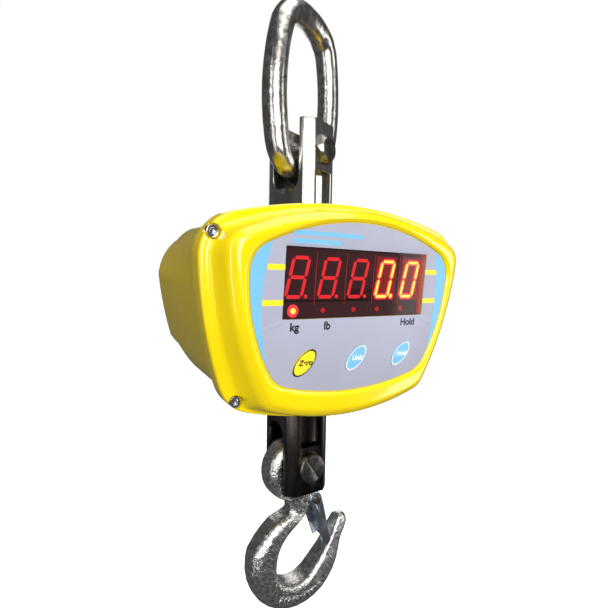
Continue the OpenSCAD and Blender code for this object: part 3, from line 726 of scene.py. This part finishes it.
def segment(ends, grow, front):
    """A bar with pointed ends, standing just proud of its module."""
    start, end = Vector(ends[0]), Vector(ends[1])
    along = (end - start).normalized()
    across = Vector((-along.y, along.x))
    half, trim = STROKE / 2 + grow, 0.45 - grow
    start, end = start + along * trim, end - along * trim
    shape = [start, start + (along + across) * half, end + (across - along) * half,
             end, end - (across + along) * half, start + (along - across) * half]
    bpy.ops.object.select_all(action="DESELECT")
    bpy.ops.mesh.primitive_circle_add(vertices=6, radius=1, fill_type="NGON")
    piece = started("bar")
    mesh = editing(piece)
    mesh.verts.ensure_lookup_table()
    for vertex, place in zip(mesh.verts, shape):
        vertex.co = (place.x + place.y * SLANT, front, place.y)
    bmesh.update_edit_mesh(piece.data)
    bpy.ops.mesh.extrude_region_move(TRANSFORM_OT_translate={"value": (0, 0.25, 0)})
    return done(piece)


def point(x, w, radius, front):
    bpy.ops.object.select_all(action="DESELECT")
    bpy.ops.mesh.primitive_cylinder_add(vertices=20, radius=radius, depth=0.25,
                                        location=(x, front + 0.125, w), rotation=(math.pi / 2, 0, 0))
    piece = started("point")
    bpy.ops.object.transform_apply(location=True, rotation=True, scale=True)
    return piece


def digits():
    """Five slanted digits: three unlit eights with a painted red glow and the lit 0.0 with a painted glow
    halo.
    """
    groups = {"unlit": [], "lit": [], "glow": []}
    for number in range(5):
        centre = (number - 2) * MODULE - 1.6
        lit = LIT.get(number, "")
        shapes = [(letter, ends) for letter, ends in bar_ends().items()]
        for letter, ends in shapes:
            kinds = [("lit", -0.3, 2.4), ("glow", 0.9, 2.6)] if letter in lit else [("unlit", 0, 2.6)]
            for kind, grow, front in kinds:
                if kind == "unlit" and lit:
                    continue
                piece = segment(ends, grow, front)
                piece.location = (centre, 0, GLYPH_MID_W)
                bpy.ops.object.transform_apply(location=True, rotation=False, scale=False)
                groups[kind].append(piece)
        dot_x, dot_w = centre + GLYPH_W / 2 - 0.2, GLYPH_MID_W - GLYPH_H / 2 + 1.6
        if "." in lit:
            groups["lit"].append(point(dot_x, dot_w, 1.5, 2.5))
            groups["glow"].append(point(dot_x, dot_w, 2.5, 2.6))
        elif not lit:
            groups["unlit"].append(point(dot_x, dot_w, 1.5, 2.6))
    for kind, material in (("unlit", SEGMENT_UNLIT_PAINTED_GLOW), ("lit", SEGMENT_LIT), ("glow", SEGMENT_HALO_PAINTED_GLOW)):
        piece = tidy(joined(groups[kind], "segments_" + kind), 0.0001)
        settle(piece, HOUSING, material, "housing")


def module_seams():
    """Thin red edges between the digit modules and the bright one at the window's right side, all with a
    painted red glow.
    """
    made = []
    spots = [((k - 1.5) * MODULE, 0.45, 3.5, 39) for k in range(4)] + [(WINDOW[0] / 2 - 1.7, 2.8, 0.6, 50)]
    for x, width, mid_w, height in spots:
        bpy.ops.mesh.primitive_cube_add(size=1, location=(x, 2.7, mid_w), scale=(width, 0.2, height))
        seam = started("seam")
        bpy.ops.object.transform_apply(location=True, rotation=False, scale=True)
        made.append(seam)
    piece = joined(made, "module_seams")
    bevelled(piece, 0.06, 2)
    settle(piece, HOUSING, SEAM_RED_PAINTED_GLOW, "housing")


def lit_modules():
    """The faintly glowing faces behind the lit digits."""
    made = []
    for number in LIT:
        bpy.ops.mesh.primitive_cube_add(size=1, location=((number - 2) * MODULE - 0.6, 2.95, 4.5),
                                        scale=(22, 0.3, 35))
        made.append(started("lit_module"))
        bpy.ops.object.transform_apply(location=True, rotation=False, scale=True)
    halo = joined(made, "lit_modules")
    bevelled(halo, 0.1, 2)
    settle(halo, HOUSING, HALO_RED, "housing")


def lamp_strip():
    """The dark face behind the row of lamps."""
    bpy.ops.mesh.primitive_cube_add(size=1, location=(0, 2.95, -19.5), scale=(136.8, 0.3, 12))
    strip = started("lamp_strip")
    bpy.ops.object.transform_apply(location=True, rotation=False, scale=True)
    bevelled(strip, 0.1, 2)
    settle(strip, HOUSING, DIGIT_FACE, "housing")


def indicators():
    """The small lamps under the digits; the first one is lit, with a painted glow halo, and the unlit ones
    carry a painted red glow.
    """
    for name, spots, radius, front, material in (
            ("lamp_lit", [-59], 2.1, 2.2, SEGMENT_LIT), ("lamp_glow", [-59], 4.6, 2.5, SEGMENT_HALO_PAINTED_GLOW),
            ("lamps_unlit", [-33, -4, 20, 46], 2.0, 2.6, SEAM_RED_PAINTED_GLOW)):
        piece = joined([point(x, -20, radius, front) for x in spots], name)
        bevelled(piece, 0.1, 2)
        settle(piece, HOUSING, material, "housing")


# ---------- keys ----------

def key_pad(name, k, material, ring_material):
    """A domed oval key with its printed rim and its plunger behind."""
    bpy.ops.object.select_all(action="DESELECT")
    bpy.ops.mesh.primitive_cylinder_add(vertices=96, radius=12, depth=1.4, rotation=(math.pi / 2, 0, 0))
    pad = leaning(started(name + "_pad"))
    mesh = editing(pad, "FACE")
    for face in mesh.faces:
        face.select_set(face.normal.y < -0.9)
    bmesh.update_edit_mesh(pad.data)
    bpy.ops.mesh.inset(thickness=1.0, depth=0)
    bpy.ops.mesh.inset(thickness=2.2, depth=0.12)
    done(pad)
    bevelled(pad, 0.2, 2, 40)
    pad.location = (k * KEY_PITCH, 0.1, -KEY_DROP)
    bpy.ops.mesh.primitive_cylinder_add(vertices=32, radius=3, depth=3.3,
                                        location=(k * KEY_PITCH, 2.55, -KEY_DROP),
                                        rotation=(math.pi / 2, 0, 0))
    plunger = started("plunger")
    pad = joined([pad, plunger], name + "_pad")
    smooth(pad, 35)
    settle(pad, HOUSING, material, name, [name])
    bpy.ops.mesh.primitive_torus_add(major_segments=96, minor_segments=12, major_radius=12,
                                     minor_radius=0.7, rotation=(math.pi / 2, 0, 0))
    rim = leaning(started(name + "_rim"), -0.45)
    only(rim)
    rim.scale = (1, 0.22, 1)
    rim.location = (k * KEY_PITCH, -0.62, -KEY_DROP)
    smooth(rim, 60)
    settle(rim, HOUSING, ring_material, name)


def keys():
    looks = [("key_zero", FILM_YELLOW, INK_NAVY, "key_yellow", "Zero"),
             ("key_units", FILM_BLUE, INK_WHITE, "key_blue", "Unit"),
             ("key_hold", FILM_BLUE, INK_WHITE, "key_blue", "Hold")]
    for k, (name, film, ink, slot, word) in zip((-1, 0, 1), looks):
        key_pad(name, k, film, ink)
        lettering(name + "_word", [(word, k * KEY_PITCH + 0.6, -KEY_DROP, 5.6, -0.76, 0.2)], ink,
                  name)


# ---------- ring ----------

def lifting_ring():
    """The forged ring: a round bar bent to an oval of top, corner and side arcs, a little uneven."""
    side_c, top_c = Vector((RING_HALF_W - RING_SIDE_R, 0)), Vector((0, RING_HALF_H - RING_TOP_R))
    corner_c = max(intersect_sphere_sphere_2d(side_c, RING_SIDE_R - RING_CORNER_R,
                                              top_c, RING_TOP_R - RING_CORNER_R),
                   key=lambda point: point.y)
    top_at = math.atan2(corner_c.y - top_c.y, corner_c.x)
    side_at = math.atan2(corner_c.y, corner_c.x - side_c.x)

    def centre_line(angle):
        """Point and outward way of the bar's centre line, for an outward way's angle from +X."""
        way = Vector((math.cos(angle), math.sin(angle)))
        folded = math.atan2(abs(way.y), abs(way.x))
        centre, radius = side_c, RING_SIDE_R
        if folded > top_at:
            centre, radius = top_c, RING_TOP_R
        elif folded > side_at:
            centre, radius = corner_c, RING_CORNER_R
        middle = Vector((math.copysign(1, way.x) * centre.x, math.copysign(1, way.y) * centre.y))
        return middle + way * radius, way

    bpy.ops.object.select_all(action="DESELECT")
    bpy.ops.mesh.primitive_torus_add(major_segments=256, minor_segments=48, major_radius=100,
                                     minor_radius=BAR_R)
    ring = started("lifting_ring_bar")
    mesh = editing(ring)
    for vertex in mesh.verts:
        angle = math.atan2(vertex.co.y, vertex.co.x)
        out = math.hypot(vertex.co.x, vertex.co.y) - 100
        spot, way = centre_line(angle)
        uneven = 1 - 0.012 * (1 + math.sin(5 * angle + 0.7)) - 0.008 * (1 + math.sin(13 * angle))
        lying = spot + way * out * uneven
        vertex.co = (lying.x, -vertex.co.z * uneven, lying.y)
    bmesh.update_edit_mesh(ring.data)
    done(ring)
    tidy(ring)
    smooth(ring, 60)
    hung = RING @ Matrix.Translation((0, 0, BOLT_Z)) @ Matrix.Rotation(RING_LEAN, 4, "Y")
    centred = Matrix.Translation((0, 0, RING_HALF_H - BAR_R - BOLT_BELOW_BAR))
    settle(ring, hung @ centred, PLATED_RING, "ring", ["lifting_ring"])


# ---------- hook ----------

BOWL, BOWL_R = Vector((0, -94)), 51.5
THROAT, THROAT_R = Vector((-1, -97.5)), 23
EYE, EYE_R, PIN_BORE_R = Vector((-4, -8)), 30.5, 9.1
LATCH_AXIS = Vector((17.5, -41))


def hook_section(inner, outer, thick, count=48):
    """A section between an inner and an outer point of the hook's side view, flat on its inner side."""
    middle, half = (inner + outer) / 2, (outer - inner) / 2
    ring = []
    for k in range(count):
        a = 2 * math.pi * k / count
        c, s = math.cos(a), math.sin(a)
        square = 5.0 if c < 0 else 2.6
        u = math.copysign(abs(c) ** (2 / square), c)
        t = math.copysign(abs(s) ** (2 / square), s)
        ring.append(Vector((middle.x + half.x * u, thick / 2 * t, middle.y + half.y * u)))
    return ring


def hook_stations():
    """The hook's inner and outer points and thickness from the tip round the bowl to the neck."""
    stations = [((51.2, -68.4), (56.8, -68.2), 7), ((47.8, -70.4), (60.2, -71.2), 13),
                ((45.6, -74.5), (61.2, -76.5), 16), ((41, -82), (57.8, -84), 18),
                ((36, -90.5), (53.4, -91), 19), ((30.8, -97.4), (51, -101.2), 20),
                ((25.8, -102.6), (48.4, -111.6), 22), ((20.6, -108), (43.7, -121.3), 23.5),
                ((15.6, -113.2), (37, -129.8), 24.5)]
    for step in range(11):
        a = math.radians(-56 - 12 * step)
        inner = THROAT + Vector((math.cos(a - 0.02), math.sin(a - 0.02))) * THROAT_R
        outer = BOWL + Vector((math.cos(a), math.sin(a))) * BOWL_R
        stations.append((inner, outer, 25.6))
    stations += [((-22.6, -86.8), (-51, -86.8), 25.6), ((-20.6, -81), (-49.6, -79.2), 25.6),
                 ((-17.7, -75.6), (-42.4, -69.4), 25.6), ((-12.6, -69.6), (-35, -61.8), 25.4),
                 ((-5.4, -64), (-26.4, -54.9), 25), ((2.5, -58.6), (-14.4, -51.4), 23.5),
                 ((9.6, -53.6), (-9.8, -48.6), 20.4), ((11.8, -47), (-9.9, -44), 20.2),
                 ((12, -38), (-12, -36), 21), ((12, -26), (-14, -24), 22)]
    return [(Vector(inner), Vector(outer), thick) for inner, outer, thick in stations]


def hook():
    """The forged hook: lofted body, eye, latch lug and raised marks merged, relaxed and bored."""
    body = loft("hook_body", [hook_section(i, o, t) for i, o, t in hook_stations()], ends=True)
    bpy.ops.mesh.primitive_cylinder_add(vertices=96, radius=EYE_R, depth=25, location=(EYE.x, 0, EYE.y),
                                        rotation=(math.pi / 2, 0, 0))
    eye = bevelled(started("eye"), 8.5, 6)
    bpy.ops.mesh.primitive_cylinder_add(vertices=48, radius=6.7, depth=19.6,
                                        location=(LATCH_AXIS.x, 0, LATCH_AXIS.y),
                                        rotation=(math.pi / 2, 0, 0))
    lug = bevelled(started("lug"), 1.5, 3)
    bpy.ops.mesh.primitive_cube_add(size=1, location=(11, 0, -42), scale=(12, 19.6, 14))
    root = bevelled(started("lug_root"), 2.5, 4)
    marks = []
    for step in range(11):
        a = math.radians(-122 + 6.5 * step)
        spot = BOWL + Vector((math.cos(a), math.sin(a))) * 40
        bpy.ops.mesh.primitive_cube_add(size=1, location=(spot.x, -12, spot.y),
                                        rotation=(0, math.pi / 2 - a, 0), scale=(2.4, 3.4, 5.5))
        marks.append(bevelled(started("mark"), 0.4, 2))
    forged = joined([body, eye, lug, root, *marks], "hook_forging")
    bpy.ops.object.transform_apply(location=True, rotation=True, scale=True)
    modified(forged, "REMESH", mode="VOXEL", voxel_size=0.9)
    modified(forged, "SMOOTH", factor=0.5, iterations=6)
    hammered = bpy.data.textures.new("hammered", "CLOUDS")
    hammered.noise_scale = 6.0
    hammered.noise_depth = 2
    modified(forged, "DISPLACE", texture=hammered, strength=0.35, mid_level=0.72,
             texture_coords="LOCAL")
    bores = []
    for radius, x, z in ((PIN_BORE_R, 0, 0), (3, *LATCH_AXIS)):
        bpy.ops.mesh.primitive_cylinder_add(vertices=64, radius=radius, depth=60, location=(x, 0, z),
                                            rotation=(math.pi / 2, 0, 0))
        bores.append(started("bore"))
    for side in (-1, 1):
        bpy.ops.mesh.primitive_cylinder_add(vertices=64, radius=11.6, depth=6,
                                            location=(LATCH_AXIS.x, side * 13.1, LATCH_AXIS.y),
                                            rotation=(math.pi / 2, 0, 0))
        bores.append(started("cheek_room"))
    cut(forged, *bores)
    smooth(forged, 50)
    settle(forged, PIN, FORGING, "hook", ["hook"])


# ---------- metal parts carried over from the frame ----------

def metal_parts():
    # The lower clevis gets the darkened plating: painted shade in its colour.
    carried("lower_clevis", "lower_clevis_finished", "lower_clevis", 0.8, SHADED_PLATED_BLOCK)
    for node, body, width in (
            ("upper_clevis", "upper_clevis", 0.8), ("ring_bolt", "upper_clevis", 0.5),
            ("ring_nut", "upper_clevis", 0.3),
            ("hook_pin", "lower_clevis", 0.4), ("snap_ring", "lower_clevis", 0.1),
            ("shell_screws", "housing", 0.35), ("battery_door", "housing", 0.5),
            ("door_screws", "housing", 0.3), ("charge_socket", "housing", 0.4),
            ("latch", "latch", 0.5), ("latch_pin", "hook", 0.4),
            ("upper_seal", "housing", 0.8), ("lower_seal", "housing", 0.8)):
        carried(node, node + "_finished", body, width)
    carried("socket_cap", "socket_cap_finished", "socket_cap", 0.4)


# ---------- studio ----------

def studio():
    bpy.ops.object.select_all(action="DESELECT")
    bpy.ops.mesh.primitive_plane_add(size=30, location=(0, 0, -0.85))
    floor = started("floor")
    floor.visible_diffuse = False
    floor.visible_glossy = False
    floor.data.materials.append(finish_of("pale_floor", (0.86, 0.86, 0.86), 0.7, rough_spread=0.05,
                                          glow=(1, 1, 1), glow_strength=0.95))
    for name, place, size, power in (
            ("key_softbox", (-0.42, -1.7, 0.15), (1.0, 1.5), 31),
            ("top_softbox", (0.2, -0.5, 1.3), (1.4, 1.4), 15),
            ("left_strip", (-1.3, -0.75, -0.1), (0.22, 1.8), 5),
            ("right_strip", (1.1, -1.0, -0.2), (0.2, 1.6), 5),
            ("back_softbox", (0.8, 1.4, 0.4), (1.0, 1.6), 6)):
        bpy.ops.object.light_add(type="AREA", location=place)
        lamp = bpy.context.object
        lamp.name = name
        lamp.data.shape = "RECTANGLE"
        lamp.data.size, lamp.data.size_y = size
        lamp.data.energy = power
        aim = Vector((0, 0, -0.28)) - Vector(place)
        lamp.rotation_euler = aim.to_track_quat("-Z", "Y").to_euler()
    world = bpy.data.worlds.new("studio")
    bpy.context.scene.world = world
    world.use_nodes = True
    nodes, links = world.node_tree.nodes, world.node_tree.links
    room = nodes["Background"]
    room.inputs["Color"].default_value = (0.1, 0.1, 0.105, 1)
    backdrop = nodes.new("ShaderNodeBackground")
    backdrop.inputs["Color"].default_value = (1, 1, 1, 1)
    seen = nodes.new("ShaderNodeLightPath")
    mix = nodes.new("ShaderNodeMixShader")
    links.new(seen.outputs["Is Camera Ray"], mix.inputs["Fac"])
    links.new(room.outputs["Background"], mix.inputs[1])
    links.new(backdrop.outputs["Background"], mix.inputs[2])
    links.new(mix.outputs["Shader"], nodes["World Output"].inputs["Surface"])
    bpy.context.scene.view_settings.view_transform = "Standard"


add_camera()
dress_cad_nodes()
front_shell()
rear_shell()
gasket()
overlay()
lettering("overlay_words", [("kg", -58.5, -31.4, 8.4, -0.02, 0), ("lb", -30, -31.4, 8.4, -0.02, 0),
                            ("Hold", 53, -31.4, 8.2, -0.02, 0)], INK_NAVY)
digits()
module_seams()
lit_modules()
lamp_strip()
indicators()
keys()
lifting_ring()
hook()
metal_parts()
studio()
